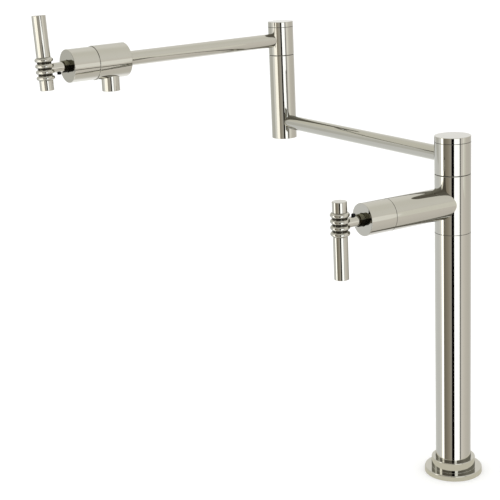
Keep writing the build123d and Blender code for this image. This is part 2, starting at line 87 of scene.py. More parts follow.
lowerAzimuth, upperAzimuth = places["lowerArmAzimuth"], places["upperArmAzimuth"]
upperHeight = places["upperArmHeight"]
elbow = along(lowerAzimuth, 0, places["armReach"])["point"]
column = level(0)
post = level(0, elbow)
branch = along(places["branchAzimuth"], places["branchHeight"], places["branchSeam"])
lowerRun = along(lowerAzimuth, places["lowerArmHeight"], 0)
upperRun = along(upperAzimuth, upperHeight, 0, elbow)
outlet = along(upperAzimuth, upperHeight, places["outletSeam"], elbow)
spoutTop = along(upperAzimuth, upperHeight, places["spoutReach"], elbow)
spoutSeat = level(upperHeight, spoutTop["point"])


def easedOutline(rows, closed, steps=6):
    # Rows are (distance, radius, softness), or without the softness for a fine edge. Each
    # corner becomes an arc of that softness: its centre is the corner less softness x
    # (normal before + normal after) / (1 + their dot product), and the normal swings
    # evenly from the one side's to the other's.
    leastLength, leastTurn, leastDot = 1e-9, 1e-6, -0.999  # guards for straight corners
    rows = np.array([(*row, fineEdge)[:3] for row in rows], float)
    corner, soft = rows[:, :2], rows[:, 2]
    side = corner - np.roll(corner, 1, axis=0)
    side = side / np.maximum(np.linalg.norm(side, axis=1, keepdims=True), leastLength)
    before = np.stack([-side[:, 1], side[:, 0]], axis=1)
    after = np.roll(before, -1, axis=0)
    dot = np.clip((before * after).sum(axis=1), leastDot, 1)
    turn = np.arccos(dot)[:, None, None]
    bulge = np.sign(before[:, 1] * after[:, 0] - before[:, 0] * after[:, 1]) * soft
    share = np.linspace(0, 1, steps)[None, :, None]
    swing = np.sin((1 - share) * turn) * before[:, None] + np.sin(share * turn) * after[:, None]
    swing = swing / np.maximum(np.sin(turn), leastLength)
    swing = np.where(turn > leastTurn, swing, before[:, None])
    centre = corner - bulge[:, None] * (before + after) / (1 + dot)[:, None]
    points = centre[:, None] + bulge[:, None, None] * swing
    if closed:
        return points.reshape(-1, 2), swing.reshape(-1, 2)
    points, swing = points[1:-1].reshape(-1, 2), swing[1:-1].reshape(-1, 2)
    points = np.concatenate([corner[:1], points, corner[-1:]])
    return points, np.concatenate([after[:1], swing, before[-1:]])


def meshOf(name, points, faces, normals=None):
    # One mesh from whole arrays: points in millimetres, faces as lists of index arrays.
    points = np.asarray(points, float).reshape(-1, 3)
    mesh = bpy.data.meshes.new(name)
    sizes = np.concatenate([np.full(len(face), face.shape[1]) for face in faces])
    corners = np.concatenate([face.ravel() for face in faces]).astype(np.int32)
    mesh.vertices.add(len(points))
    mesh.vertices.foreach_set("co", (points * metre).astype(np.float32).ravel())
    mesh.loops.add(len(corners))
    mesh.loops.foreach_set("vertex_index", corners)
    mesh.polygons.add(len(sizes))
    starts = np.concatenate([[0], np.cumsum(sizes)[:-1]]).astype(np.int32)
    mesh.polygons.foreach_set("loop_start", starts)
    mesh.polygons.foreach_set("use_smooth", np.ones(len(sizes), bool))
    mesh.update(calc_edges=True)
    mesh.validate()
    if normals is not None:
        mesh.normals_split_custom_set_from_vertices(normals.astype(np.float32))
    piece = bpy.data.objects.new(name, mesh)
    bpy.context.scene.collection.objects.link(piece)
    return piece


def gridFaces(rows, around, closed):
    # Quads between neighbouring rows; the last column joins the first, and the last row
    # joins the first where the outline is closed.
    count = rows if closed else rows - 1
    row, step = np.meshgrid(np.arange(count), np.arange(around), indexing="ij")
    nextRow, nextStep = (row + 1) % rows, (step + 1) % around
    quad = [row * around + step, row * around + nextStep]
    quad += [nextRow * around + nextStep, nextRow * around + step]
    return np.stack(quad, axis=-1).reshape(-1, 4)


def fanFaces(rows, around):
    # Triangles from the first and the last row to two poles numbered after the grid.
    step, grid = np.arange(around), rows * around
    nextStep, last = (step + 1) % around, grid - around
    first = np.stack([np.full(around, grid), nextStep, step], axis=1)
    final = np.stack([last + step, last + nextStep, np.full(around, grid + 1)], axis=1)
    return [first, final]


def anglesRound(around):
    # Even angles once round: step x 2 pi / around.
    return np.arange(around) * 2 * math.pi / around


def circleOf(seat, around):
    # Unit directions round a seat's axis: cos a x across + sin a x up.
    angle = anglesRound(around)[:, None]
    return np.cos(angle) * seat["across"] + np.sin(angle) * seat["up"]


def turnedPiece(name, seat, outline, closed, around=smallSteps):
    # Surface of revolution: point = seat + distance x axis + radius x (cos a x across +
    # sin a x up). An open outline starts and ends on the axis, in a fan round a pole.
    points, normals = outline
    ring = circleOf(seat, around)
    if not closed:
        poles = seat["point"] + points[[0, -1], 0][:, None] * seat["axis"]
        poleNormals = normals[[0, -1], 0][:, None] * seat["axis"]
        points, normals = points[1:-1], normals[1:-1]
    body = seat["point"] + points[:, None, None, 0] * seat["axis"] + points[:, None, None, 1] * ring
    facing = normals[:, None, None, 0] * seat["axis"] + normals[:, None, None, 1] * ring
    body, facing = body.reshape(-1, 3), facing.reshape(-1, 3)
    faces = [gridFaces(len(points), around, closed)]
    if not closed:
        faces += fanFaces(len(points), around)
        body, facing = np.concatenate([body, poles]), np.concatenate([facing, poleNormals])
    return meshOf(name, body, faces, facing)


def sharpened(piece, degrees):
    # Edges whose faces turn by more than that angle stay sharp.
    piece.data.set_sharp_from_angle(angle=math.radians(degrees))
    return piece


def ringSet(name, seat, distances, width, radius, depth, around=smallSteps, sharp=40):
    # Flat rings on one axis: each is a rectangle, distance +- width / 2 by radius - depth
    # to radius, turned about the axis.
    corner = np.array([(-0.5, -1), (-0.5, 0), (0.5, 0), (0.5, -1)])
    station = np.asarray(distances, float)[:, None] + width * corner[:, 0]
    out = np.broadcast_to(radius + depth * corner[:, 1], station.shape)
    body = station[..., None, None] * seat["axis"] + out[..., None, None] * circleOf(seat, around)
    first = np.arange(len(station))[:, None, None] * len(corner) * around
    faces = first + gridFaces(len(corner), around, True)
    return sharpened(meshOf(name, seat["point"] + body, [faces.reshape(-1, 4)]), sharp)


def settle(piece, body, slotName, material, *nodes):
    # A piece's material and body, and the CAD nodes that it is drawn in place of; the slot name is
    # not used.
    piece.data.materials.append(material)
    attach(piece, body)
    if nodes:
        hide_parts(*nodes)


# Effects that several finishes share, each a node group.
def newGroup(name, inputs, outputs):
    # An empty group with number sockets, whose inputs have their first values.
    group = bpy.data.node_groups.new(name, "ShaderNodeTree")
    number = "NodeSocketFloat"
    for key, value in inputs.items():
        socket = group.interface.new_socket(key, in_out="INPUT", socket_type=number)
        socket.default_value = value
    for key in outputs:
        group.interface.new_socket(key, in_out="OUTPUT", socket_type=number)
    return group, group.nodes.new("NodeGroupInput"), group.nodes.new("NodeGroupOutput")


def feed(tree, node, inputs):
    # Each input is linked to its value where that is a node's output, and else set to it.
    for key, value in inputs.items():
        socket = node.inputs[key]
        if isinstance(value, bpy.types.NodeSocket):
            tree.links.new(value, socket)
        else:
            socket.default_value = (*value, 1) if socket.type == "RGBA" else value
    return node


def addNode(tree, kind, inputs=None, **settings):
    # A node of that kind with its settings and its inputs.
    node = tree.nodes.new(kind)
    for key, value in settings.items():
        setattr(node, key, value)
    return feed(tree, node, inputs or {})


def objectPoint(tree):
    # Where the shaded point lies in the object's own coordinates, in metres.
    return addNode(tree, "ShaderNodeTexCoord").outputs["Object"]


def mathNode(tree, operation, *values):
    # One step of arithmetic on numbers and outputs, in the order of the node's sockets.
    node = addNode(tree, "ShaderNodeMath", operation=operation)
    return feed(tree, node, dict(enumerate(values))).outputs[0]


mottleSettings = {
    "inputs": {"Scale": 60, "Contrast": 1},
    "noise": {"Detail": 4, "Roughness": 0.55},
}


def makeMottle(settings):
    # Soft patches: 0.5 + (noise - 0.5) x Contrast, kept between 0 and 1.
    group, entry, leave = newGroup("mottle", settings["inputs"], ["Patches"])
    noise = addNode(group, "ShaderNodeTexNoise", settings["noise"])
    feed(group, noise, {"Vector": objectPoint(group), "Scale": entry.outputs["Scale"]})
    centred = mathNode(group, "SUBTRACT", noise.outputs["Fac"], 0.5)
    spread = mathNode(group, "MULTIPLY", centred, entry.outputs["Contrast"])
    clamp = addNode(group, "ShaderNodeClamp", {"Value": mathNode(group, "ADD", spread, 0.5)})
    feed(group, leave, {"Patches": clamp.outputs[0]})
    return group


hairlineSettings = {
    "inputs": {"Scale": 900, "Length": 18},
    "noise": {"Detail": 2},
    "turns": ((0.35, 0.2, 0.9), (1.1, -0.6, 0.1)),
}


def makeHairlines(settings):
    # Polishing marks: the mean of two noises, each over its own turned coordinates with
    # the first one divided by Length.
    group, entry, leave = newGroup("hairlines", settings["inputs"], ["Height"])
    parts = []
    for turn in settings["turns"]:
        turning = {"Rotation": turn, "Vector": objectPoint(group)}
        mapping = addNode(group, "ShaderNodeMapping", turning)
        split = addNode(group, "ShaderNodeSeparateXYZ", {0: mapping.outputs[0]})
        pressed = mathNode(group, "DIVIDE", split.outputs[0], entry.outputs["Length"])
        shares = {0: pressed, 1: split.outputs[1], 2: split.outputs[2]}
        join = addNode(group, "ShaderNodeCombineXYZ", shares)
        noise = addNode(group, "ShaderNodeTexNoise", settings["noise"])
        feed(group, noise, {"Vector": join.outputs[0], "Scale": entry.outputs["Scale"]})
        parts.append(noise.outputs["Fac"])
    mean = mathNode(group, "MULTIPLY", mathNode(group, "ADD", *parts), 0.5)
    feed(group, leave, {"Height": mean})
    return group


latheSettings = {
    "inputs": {"Pitch": 0.0004, "Unevenness": 0.5},
    "noise": {"Scale": 400},
}


def makeLatheRings(settings):
    # Turning marks: 0.5 + 0.5 x sine of (height / Pitch + noise x Unevenness).
    group, entry, leave = newGroup("latheRings", settings["inputs"], ["Height"])
    split = addNode(group, "ShaderNodeSeparateXYZ", {0: objectPoint(group)})
    noise = addNode(group, "ShaderNodeTexNoise", settings["noise"])
    feed(group, noise, {"Vector": objectPoint(group)})
    turns = mathNode(group, "DIVIDE", split.outputs[2], entry.outputs["Pitch"])
    shaken = mathNode(group, "MULTIPLY", noise.outputs["Fac"], entry.outputs["Unevenness"])
    wave = mathNode(group, "SINE", mathNode(group, "ADD", turns, shaken))
    feed(group, leave, {"Height": mathNode(group, "MULTIPLY_ADD", wave, 0.5, 0.5)})
    return group


mottle = makeMottle(mottleSettings)
hairlines = makeHairlines(hairlineSettings)
latheRings = makeLatheRings(latheSettings)


def useGroup(tree, group, **values):
    # The only output of a group that is placed in the tree with its own values.
    return addNode(tree, "ShaderNodeGroup", values, node_tree=group).outputs[0]


def mapTo(tree, source, low, high):
    # low + source x (high - low), for a source between 0 and 1.
    inputs = {"Value": source, "To Min": low, "To Max": high}
    return addNode(tree, "ShaderNodeMapRange", inputs).outputs["Result"]


def softStep(tree, value, start, end):
    # 0 up to the start, 1 from the end, and 3 t^2 - 2 t^3 between them.
    inputs = {"Value": value, "From Min": start, "From Max": end}
    node = addNode(tree, "ShaderNodeMapRange", inputs, interpolation_type="SMOOTHSTEP")
    return node.outputs["Result"]


def twoTones(tree, source, first, second):
    # The first tone where the source is 0, the second where it is 1.
    ramp = addNode(tree, "ShaderNodeValToRGB", {"Fac": source})
    for mark, tone in zip(ramp.color_ramp.elements, (first, second)):
        mark.color = (*tone, 1)
    return ramp.outputs["Color"]


def mixTones(tree, factor, first, second):
    # (1 - factor) x first + factor x second, each a tone or another node's output.
    inputs = {"Factor": factor, "A": first, "B": second}
    return addNode(tree, "ShaderNodeMix", inputs, data_type="RGBA").outputs["Result"]


def bumpFrom(tree, height, strength, distance, normal=None):
    # The normal leans by the slope of distance x height, as far as the strength says.
    inputs = {"Strength": strength, "Distance": distance, "Height": height}
    if normal is not None:
        inputs["Normal"] = normal
    return addNode(tree, "ShaderNodeBump", inputs).outputs["Normal"]


def newMaterial(name, inputs):
    # A material, its tree and its shader, whose sockets take the plain values.
    material = bpy.data.materials.new(name)
    material.use_nodes = True
    tree = material.node_tree
    return material, tree, feed(tree, tree.nodes["Principled BSDF"], inputs)


def makeMaterial(name, look):
    # Two tones and a roughness range mixed by soft patches, with hairlines and, on turned
    # parts, lathe rings as bump; what is the same all over stands on the shader's sockets.
    # Where the mesh carries a rise (-1 below to 1 above), the low side takes its own tone, painted
    # shade on the underside.
    material, tree, shader = newMaterial(name, {"Metallic": look["metallic"]})
    if "specular" in look:
        feed(tree, shader, {"Specular IOR Level": look["specular"]})
    scale, contrast = look["patches"]
    patches = useGroup(tree, mottle, Scale=scale, Contrast=contrast)
    tones = twoTones(tree, patches, *look["tones"])
    if "underShadeTone" in look:
        rise = addNode(tree, "ShaderNodeAttribute", attribute_name="rise").outputs["Fac"]
        raised = softStep(tree, rise, *look["underShadeSpan"])
        tones = mixTones(tree, raised, look["underShadeTone"], tones)
    scale, length, strength, depth = look["hairlines"]
    lines = useGroup(tree, hairlines, Scale=scale, Length=length)
    normal = bumpFrom(tree, lines, strength, depth)
    if "rings" in look:
        pitch, strength, depth = look["rings"]
        rings = useGroup(tree, latheRings, Pitch=pitch)
        normal = bumpFrom(tree, rings, strength, depth, normal)
    roughness = mapTo(tree, patches, *look["roughness"])
    feed(tree, shader, {"Base Color": tones, "Roughness": roughness, "Normal": normal})
    return material


# In each look, the patches move the colour between the two tones and the roughness
# between its two ends. Patches are (scale, contrast), hairlines (scale, length, strength,
# depth) and rings (pitch, strength, depth), with pitch and depth in metres.
looks = {
    "polishedNickel": {
        "metallic": 1, "roughness": (0.025, 0.045), "patches": (22, 1.6),
        "tones": ((0.785, 0.77, 0.70), (0.815, 0.80, 0.73)),
        "hairlines": (1400, 22, 0.02, 0.00002),
    },
    "darkNeck": {
        "metallic": 1, "roughness": (0.22, 0.3), "patches": (240, 2),
        "tones": ((0.27, 0.26, 0.185), (0.37, 0.36, 0.26)),
        # Painted shade: the neck turns near black on its low side, across the rise's span.
        "underShadeTone": (0.014, 0.012, 0.008), "underShadeSpan": (0.2, 0.42),
        "hairlines": (1500, 8, 0.15, 0.00005),
    },
    "freeCutBrass": {
        "metallic": 1, "roughness": (0.2, 0.36), "patches": (90, 1.8),
        "tones": ((0.70, 0.52, 0.24), (0.80, 0.62, 0.32)),
        "hairlines": (1200, 12, 0.15, 0.00005), "rings": (0.00012, 0.2, 0.00005),
    },
    "dullBrass": {
        "metallic": 1, "roughness": (0.3, 0.48), "patches": (120, 2),
        "tones": ((0.36, 0.26, 0.12), (0.5, 0.37, 0.18)),
        "hairlines": (1200, 10, 0.2, 0.00005), "rings": (0.00015, 0.2, 0.00005),
    },
    "zincSteel": {
        "metallic": 1, "roughness": (0.24, 0.4), "patches": (130, 2.2),
        "tones": ((0.52, 0.53, 0.55), (0.66, 0.67, 0.69)),
        "hairlines": (900, 16, 0.2, 0.00005),
    },
    "blackSteel": {
        "metallic": 1, "roughness": (0.32, 0.5), "patches": (500, 2),
        "tones": ((0.012, 0.012, 0.012), (0.04, 0.04, 0.042)),
        "hairlines": (2000, 6, 0.2, 0.00003),
    },
    # Painted shade for the seams between bodies: dark rings in place of the gap's shade.
    "paintedSeamShade": {
        "metallic": 0, "roughness": (0.5, 0.7), "patches": (600, 2),
        "tones": ((0.010, 0.010, 0.009), (0.022, 0.021, 0.018)),
        "hairlines": (1600, 3, 0.2, 0.00003),
    },
    # Painted shade for the crevices between the handle's beads.
    "beadShadow": {
        "metallic": 0, "specular": 0.1, "roughness": (0.5, 0.7), "patches": (600, 2),
        "tones": ((0.008, 0.006, 0.002), (0.013, 0.010, 0.004)),
        "hairlines": (1600, 3, 0.2, 0.00003),
    },
    "blackRubber": {
        "metallic": 0, "roughness": (0.55, 0.78), "patches": (700, 2),
        "tones": ((0.012, 0.012, 0.013), (0.03, 0.03, 0.03)),
        "hairlines": (1300, 2, 0.35, 0.00008),
    },
    "slipRing": {
        "metallic": 0, "roughness": (0.35, 0.5), "patches": (400, 1.5),
        "tones": ((0.02, 0.019, 0.017), (0.045, 0.042, 0.036)),
        "hairlines": (1000, 6, 0.2, 0.00003),
    },
    "whiteCeramic": {
        "metallic": 0, "roughness": (0.08, 0.16), "patches": (300, 1.2),
        "tones": ((0.80, 0.79, 0.76), (0.88, 0.87, 0.85)),
        "hairlines": (2500, 3, 0.05, 0.00002),
    },
    "greyPlastic": {
        "metallic": 0, "roughness": (0.34, 0.46), "patches": (350, 1.6),
        "tones": ((0.30, 0.30, 0.30), (0.38, 0.38, 0.37)),
        "hairlines": (1200, 3, 0.15, 0.00004),
    },
}
finishes = {name: makeMaterial(name, look) for name, look in looks.items()}
nickel = finishes["polishedNickel"]
print("finishes made:", len(finishes))

# The camera and its view transform come before the pieces.
cameraSettings = {
    "place": (937.164, -787.825, 574.495),
    "right": (0.521775, 0.851981, -0.043345),
    "up": (-0.205054, 0.174576, 0.963056),
    "back": (0.828072, -0.493610, 0.265792),
    "lens": 93.083, "sensor": 36,
}
lens = bpy.data.cameras.new("photoCamera")
lens.lens = cameraSettings["lens"]
lens.sensor_width = cameraSettings["sensor"]
camera = bpy.data.objects.new("photoCamera", lens)
bpy.context.scene.collection.objects.link(camera)
axes = Matrix([cameraSettings[key] for key in ("right", "up", "back")])
place = Matrix.Translation([share * metre for share in cameraSettings["place"]])
camera.matrix_world = place @ axes.transposed().to_4x4()
bpy.context.scene.camera = camera
bpy.context.scene.view_settings.view_transform = "Standard"
print("camera set")


def nickelPiece(name, seat, rows, body, node, closed=True, around=roundSteps):
    # A turned piece in polished nickel, drawn in place of its CAD node.
    piece = turnedPiece(name, seat, easedOutline(rows, closed), closed, around)
    settle(piece, body, "polished_nickel", nickel, node)


# Base flange and column
flangeRows = [
    (0.0, 13.25), (0.0, 21.0), (1.2, 21.0), (1.2, 26.0), (0.0, 26.0), (0.0, 28.6, 0.3),
    (5.5, 28.6, 0.9), (5.5, 21.7, 0.2), (16.0, 21.7, 0.6), (16.0, 17.55, 0.25),
    (4.0, 17.55), (4.0, 15.95), (20.0, 15.95, 0.3), (20.0, 13.25, 0.3),
]
nickelPiece("baseFlange", column, flangeRows, "base", "base_flange")


def tubeRows(start, end, radius, bore, startEdge=fineEdge, endEdge=fineEdge):
    # A tube's outline, the rectangle from start to end and from bore to radius.
    return [(start, bore), (start, radius, startEdge), (end, radius, endEdge), (end, bore)]


columnSettings = {"start": 4.0, "end": 251.0, "radius": 17.5, "bore": 16.0, "endEdge": 0.35}
nickelPiece("columnTube", column, tubeRows(**columnSettings), "base", "column_tube")

# Valve bodies: the bore, chamber and seat that both share, from the seam backwards
boreRows = [
    (0.0, 12.95), (7.0, 12.95, 0.3), (7.0, 10.05, 0.2), (-11.7, 10.05), (-11.7, 12.5),
    (-23.7, 12.5), (-23.7, 8.05), (-29.7, 8.05), (-29.7, 5.0),
]
teeSettings = {
    "barrel": [
        (243.0, 6.4, 0.2), (243.0, 15.95, 0.3), (251.0, 15.95), (251.0, 17.5, 0.35),
        (308.2, 17.5, 0.35), (308.2, 10.0, 0.2), (298.2, 10.0, 0.2), (298.2, 5.0),
        (262.0, 5.0), (262.0, 6.4),
    ],
    "branch": [(-71.4, 5.0), (-71.4, 15.5), (0.0, 15.5, 0.35)] + boreRows,
}
nickelPiece("teeBarrel", column, teeSettings["barrel"], "base", "tee_body")
nickelPiece("teeBranch", branch, teeSettings["branch"], "base", "tee_body")
print("base, column and tee dressed")

# Swivel heads with their caps, arms and the elbow post
swivels = {
    "column": {
        "seat": column, "foot": 308.2, "radius": 17.5, "bore": 11.05, "ring": 13.45,
        "body": "lower_arm",
    },
    "elbow": {
        "seat": post, "foot": 399.4, "radius": 14.0, "bore": 8.55, "ring": 10.95,
        "body": "upper_arm",
    },
}
headSettings = {
    "gap": 0.6, "height": 30.6, "armRise": 16.1, "edge": 0.35,
    "capHeight": 5.8, "capEdge": 0.4, "skirtGap": 0.05, "skirtDepth": 1.6, "skirtWall": 1.5,
    "ringDepth": 3.2, "galleryHalf": 6.0, "galleryDepth": 2.3,
}


def dressSwivel(name, swivel, head):
    # The head stands a gap above its foot, with the ring's seat in its top and the water's
    # gallery round its bore. The cap's skirt drops into the ring's seat.
    start = swivel["foot"] + head["gap"]
    end = start + head["height"]
    radius, bore, ring, edge = swivel["radius"], swivel["bore"], swivel["ring"], head["edge"]
    middle, half, seatFloor = start + head["armRise"], head["galleryHalf"], end - head["ringDepth"]
    gallery = bore + head["galleryDepth"]
    rows = [(start, bore), (start, radius, edge), (end, radius, edge)]
    rows += [(end, ring), (seatFloor, ring), (seatFloor, bore)]
    rows += [(middle + half, bore), (middle + half, gallery)]
    rows += [(middle - half, gallery), (middle - half, bore)]
    seat, body = swivel["seat"], swivel["body"]
    nickelPiece(name + "Head", seat, rows, body, name + "_head")
    skirt, skirtEnd = ring - head["skirtGap"], end - head["skirtDepth"]
    inside, top = skirt - head["skirtWall"], end + head["capHeight"]
    rows = [(end, 0, 0), (end, inside), (skirtEnd, inside), (skirtEnd, skirt), (end, skirt)]
    rows += [(end, radius, edge), (top, radius, head["capEdge"]), (top, 0, 0)]
    nickelPiece(name + "Cap", seat, rows, body, name + "_cap", closed=False)
    return end


capSeams = {name: dressSwivel(name, swivel, headSettings) for name, swivel in swivels.items()}

armSettings = {
    "lower": {"seat": lowerRun, "start": 13.85, "end": 274.0, "body": "lower_arm"},
    "upper": {"seat": upperRun, "start": 11.35, "end": 207.3, "body": "upper_arm"},
    "radius": 7.5,
    "bore": 5.9,
}
for name in ("lower", "upper"):
    arm = armSettings[name]
    rows = tubeRows(arm["start"], arm["end"], armSettings["radius"], armSettings["bore"])
    nickelPiece(name + "Arm", arm["seat"], rows, arm["body"], name + "_arm", around=smallSteps)

postSettings = {
    "tube": [
        (306.3, 10.5), (306.3, 14.0, 0.35), (399.4, 14.0, 0.35),
        (399.4, 7.5), (385.4, 7.5), (385.4, 10.5),
    ],
    "plug": [(306.3, 0.0, 0.0), (306.3, 10.45, 0.5), (312.3, 10.45), (312.3, 0.0, 0.0)],
}
nickelPiece("elbowPost", post, postSettings["tube"], "lower_arm", "elbow_post")
nickelPiece("elbowPlug", post, postSettings["plug"], "lower_arm", "elbow_post_plug", closed=False)
print("swivels, arms and elbow dressed")

# Outlet body and spout
outletSettings = {
    "body": [(-36.9, 7.55, 0.2), (-36.9, 17.4, 0.6), (0.0, 17.4, 0.35)]
    + boreRows
    + [(-31.9, 5.0), (-31.9, 7.55)],
    "spout": [(-30.2, 7.5, 0.4), (-30.2, 9.3, 0.4), (-13.7, 9.3), (-13.7, 7.5)],
}
nickelPiece("outletBody", outlet, outletSettings["body"], "upper_arm", "outlet_valve_body")
nickelPiece("spoutTube", spoutSeat, outletSettings["spout"], "upper_arm", "spout")
print("outlet body and spout dressed")

# Valves: bonnet, ringed neck, hub, grub screw and T-bar handle
valves = {
    "lower": {
        "seam": branch, "lean": places["lowerHandleLean"], "bonnetRadius": 15.5,
        "fixedBody": "base", "handleBody": "lower_handle",
    },
    "outlet": {
        "seam": outlet, "lean": places["outletHandleLean"], "bonnetRadius": 16.7,
        "fixedBody": "upper_arm", "handleBody": "outlet_handle",
    },
}
handleSettings = {
    "bonnetLength": 28.7, "bonnetFloor": 6.0, "bonnetEdge": 0.35, "cavity": 13.0,
    "neckHole": 6.3, "holeEdge": 0.3, "neckRadius": 6.0, "neckGroove": 0.18,
    "neckPitch": 1.1, "neckStart": 23.0, "neckEnd": 33.7, "neckLip": 0.02, "neckRows": 90,
    "neckAround": 96,
    "hubStart": 34.0, "hubRadius": 5.0, "hubEdge": 0.4, "hubSocket": 4.05,
    "hubSocketEdge": 0.2, "hubSocketEnd": 46.2, "hubSeat": 3.5,
    "barCentre": 53.7, "barRadius": 7.0, "barLong": 52.3, "barShort": 21.4, "barEdge": 0.6,
    "barAround": 160,
    "beadRadius": 2.2, "beadPitch": 5.9, "beadCount": 4, "beadSteps": 20, "beadFillet": 0.2,
    "filletSteps": 5, "beadMargin": 4.0, "crevice": 1.5, "creviceRise": 0.15,
    "creviceDepth": 1.0,
    "screwAt": 38.6, "screwTip": 3.45, "screwHead": 7.25, "screwRadius": 2.0,
    "screwSocket": 1.0, "screwSocketEdge": 0.08, "screwDepth": 1.4, "screwEdge": 0.3,
    "screwAround": 96, "screwSharp": 25,
}


def beadCentres(size):
    # Bead i stands at (i - (count - 1) / 2) x pitch along the bar.
    count = size["beadCount"]
    return (np.arange(count) - (count - 1) / 2) * size["beadPitch"]


def beadedOutline(size):
    # A bead is an arc of its own radius about a point on the bar's wall, met by a small
    # hollow arc on each side: the hollow's centre lies bead + fillet from the bead's centre
    # and one fillet above the wall. The same run of points is set down at each pitch.
    bead, fillet, radius = size["beadRadius"], size["beadFillet"], size["barRadius"]
    aside = math.sqrt((bead + fillet) ** 2 - fillet**2)
    meet = math.atan2(fillet, aside)
    sweep = np.linspace(math.pi - meet, meet, size["beadSteps"])
    crown = np.stack([np.cos(sweep), np.sin(sweep)], axis=1)
    dip = np.linspace(math.pi / 2, -meet, size["filletSteps"])[:-1]
    left = np.stack([np.cos(dip), np.sin(dip)], axis=1)
    leftPoints = np.array([-aside, fillet]) - fillet * left
    right = left[::-1] * [-1, 1]
    rightPoints = leftPoints[::-1] * [-1, 1]
    run = np.concatenate([leftPoints, bead * crown, rightPoints])
    runNormals = np.concatenate([left, crown, right])
    centres = beadCentres(size)
    offset = np.stack([centres, np.full(len(centres), radius)], axis=1)
    beads = (offset[:, None] + run[None]).reshape(-1, 2)
    beadNormals = np.tile(runNormals, (len(centres), 1))
    short, long, edge = size["barShort"], size["barLong"], size["barEdge"]
    first, last = centres[0] - size["beadMargin"], centres[-1] + size["beadMargin"]
    headRows = [(-short, 0, 0), (-short, radius, edge), (first, radius, 0)]
    tailRows = [(last, radius, 0), (long, radius, edge), (long, 0, 0)]
    head, headNormals = easedOutline(headRows, False)
    tail, tailNormals = easedOutline(tailRows, False)
    points = np.concatenate([head, beads, tail])
    return points, np.concatenate([headNormals, beadNormals, tailNormals])


def neckOutline(size):
    # Thread-like ridges: radius = neck - groove x (1 - cos(2 pi distance / pitch)) / 2.
    start, end, lip = size["neckStart"], size["neckEnd"], size["neckLip"]
    distance = np.linspace(start, end, size["neckRows"])
    phase = 2 * math.pi * (distance - end) / size["neckPitch"]
    radius = size["neckRadius"] - size["neckGroove"] * (1 - np.cos(phase)) / 2
    slope = -size["neckGroove"] * math.pi / size["neckPitch"] * np.sin(phase)
    normals = np.stack([-slope, np.ones_like(slope)], axis=1)
    normals = normals / np.linalg.norm(normals, axis=1, keepdims=True)
    bore = size["hubSocket"]
    points = np.stack([distance, radius], axis=1)
    ends = np.array([[end, size["neckRadius"]], [end, bore], [start, bore], [start, radius[0]]])
    ends += lip * np.array([[1, -1], [1, 0], [-1, 0], [-1, -1]])
    slant = math.sqrt(0.5)
    endNormals = np.array([[1, 0], [slant, -slant], [-slant, -slant], [-1, 0]])
    return np.concatenate([points, ends]), np.concatenate([normals, endNormals])


def hexagonRadius(angle, flat):
    # Distance to a hexagon's side: flat / cos(angle from that side's middle).
    return flat / np.cos((angle + math.pi / 6) % (math.pi / 3) - math.pi / 6)


def screwPiece(name, seat, size):
    # Grub screw on a polar grid. Ring by ring the radius goes out along the tip, up the
    # barrel and in over the head to the hexagon socket, whose floor closes in a fan.
    around, fine = size["screwAround"], size["screwSocketEdge"]
    hexagon = hexagonRadius(anglesRound(around), size["screwSocket"])
    one = np.ones(around)
    tip, head, radius = size["screwTip"], size["screwHead"], size["screwRadius"]
    edge, depth = size["screwEdge"], size["screwDepth"]
    rings = [
        (tip, (radius - edge) * one),
        (tip + edge, radius * one),
        (head - edge, radius * one),
        (head, (radius - edge) * one),
        (head, hexagon + fine),
        (head - fine, hexagon),
        (head - depth, hexagon),
    ]
    out = np.stack([ring for _, ring in rings])
    height = np.array([rise for rise, _ in rings])[:, None]
    body = height[..., None] * seat["axis"] + out[..., None] * circleOf(seat, around)
    body = (seat["point"] + body).reshape(-1, 3)
    ends = seat["point"] + np.array([[tip], [head - depth]]) * seat["axis"]
    faces = [gridFaces(len(rings), around, False)] + fanFaces(len(rings), around)
    made = meshOf(name, np.concatenate([body, ends]), faces)
    return sharpened(made, size["screwSharp"])


def markRise(piece, height, radius):
    # Rise of each vertex = (its height - the axis's height) / radius. It marks the low side, which
    # a finish darkens as painted shade.
    mesh = piece.data
    points = np.empty(len(mesh.vertices) * 3, np.float32)
    mesh.vertices.foreach_get("co", points)
    rise = (points[2::3] / metre - height) / radius
    mark = mesh.attributes.new("rise", "FLOAT", "POINT")
    mark.data.foreach_set("value", rise.astype(np.float32))


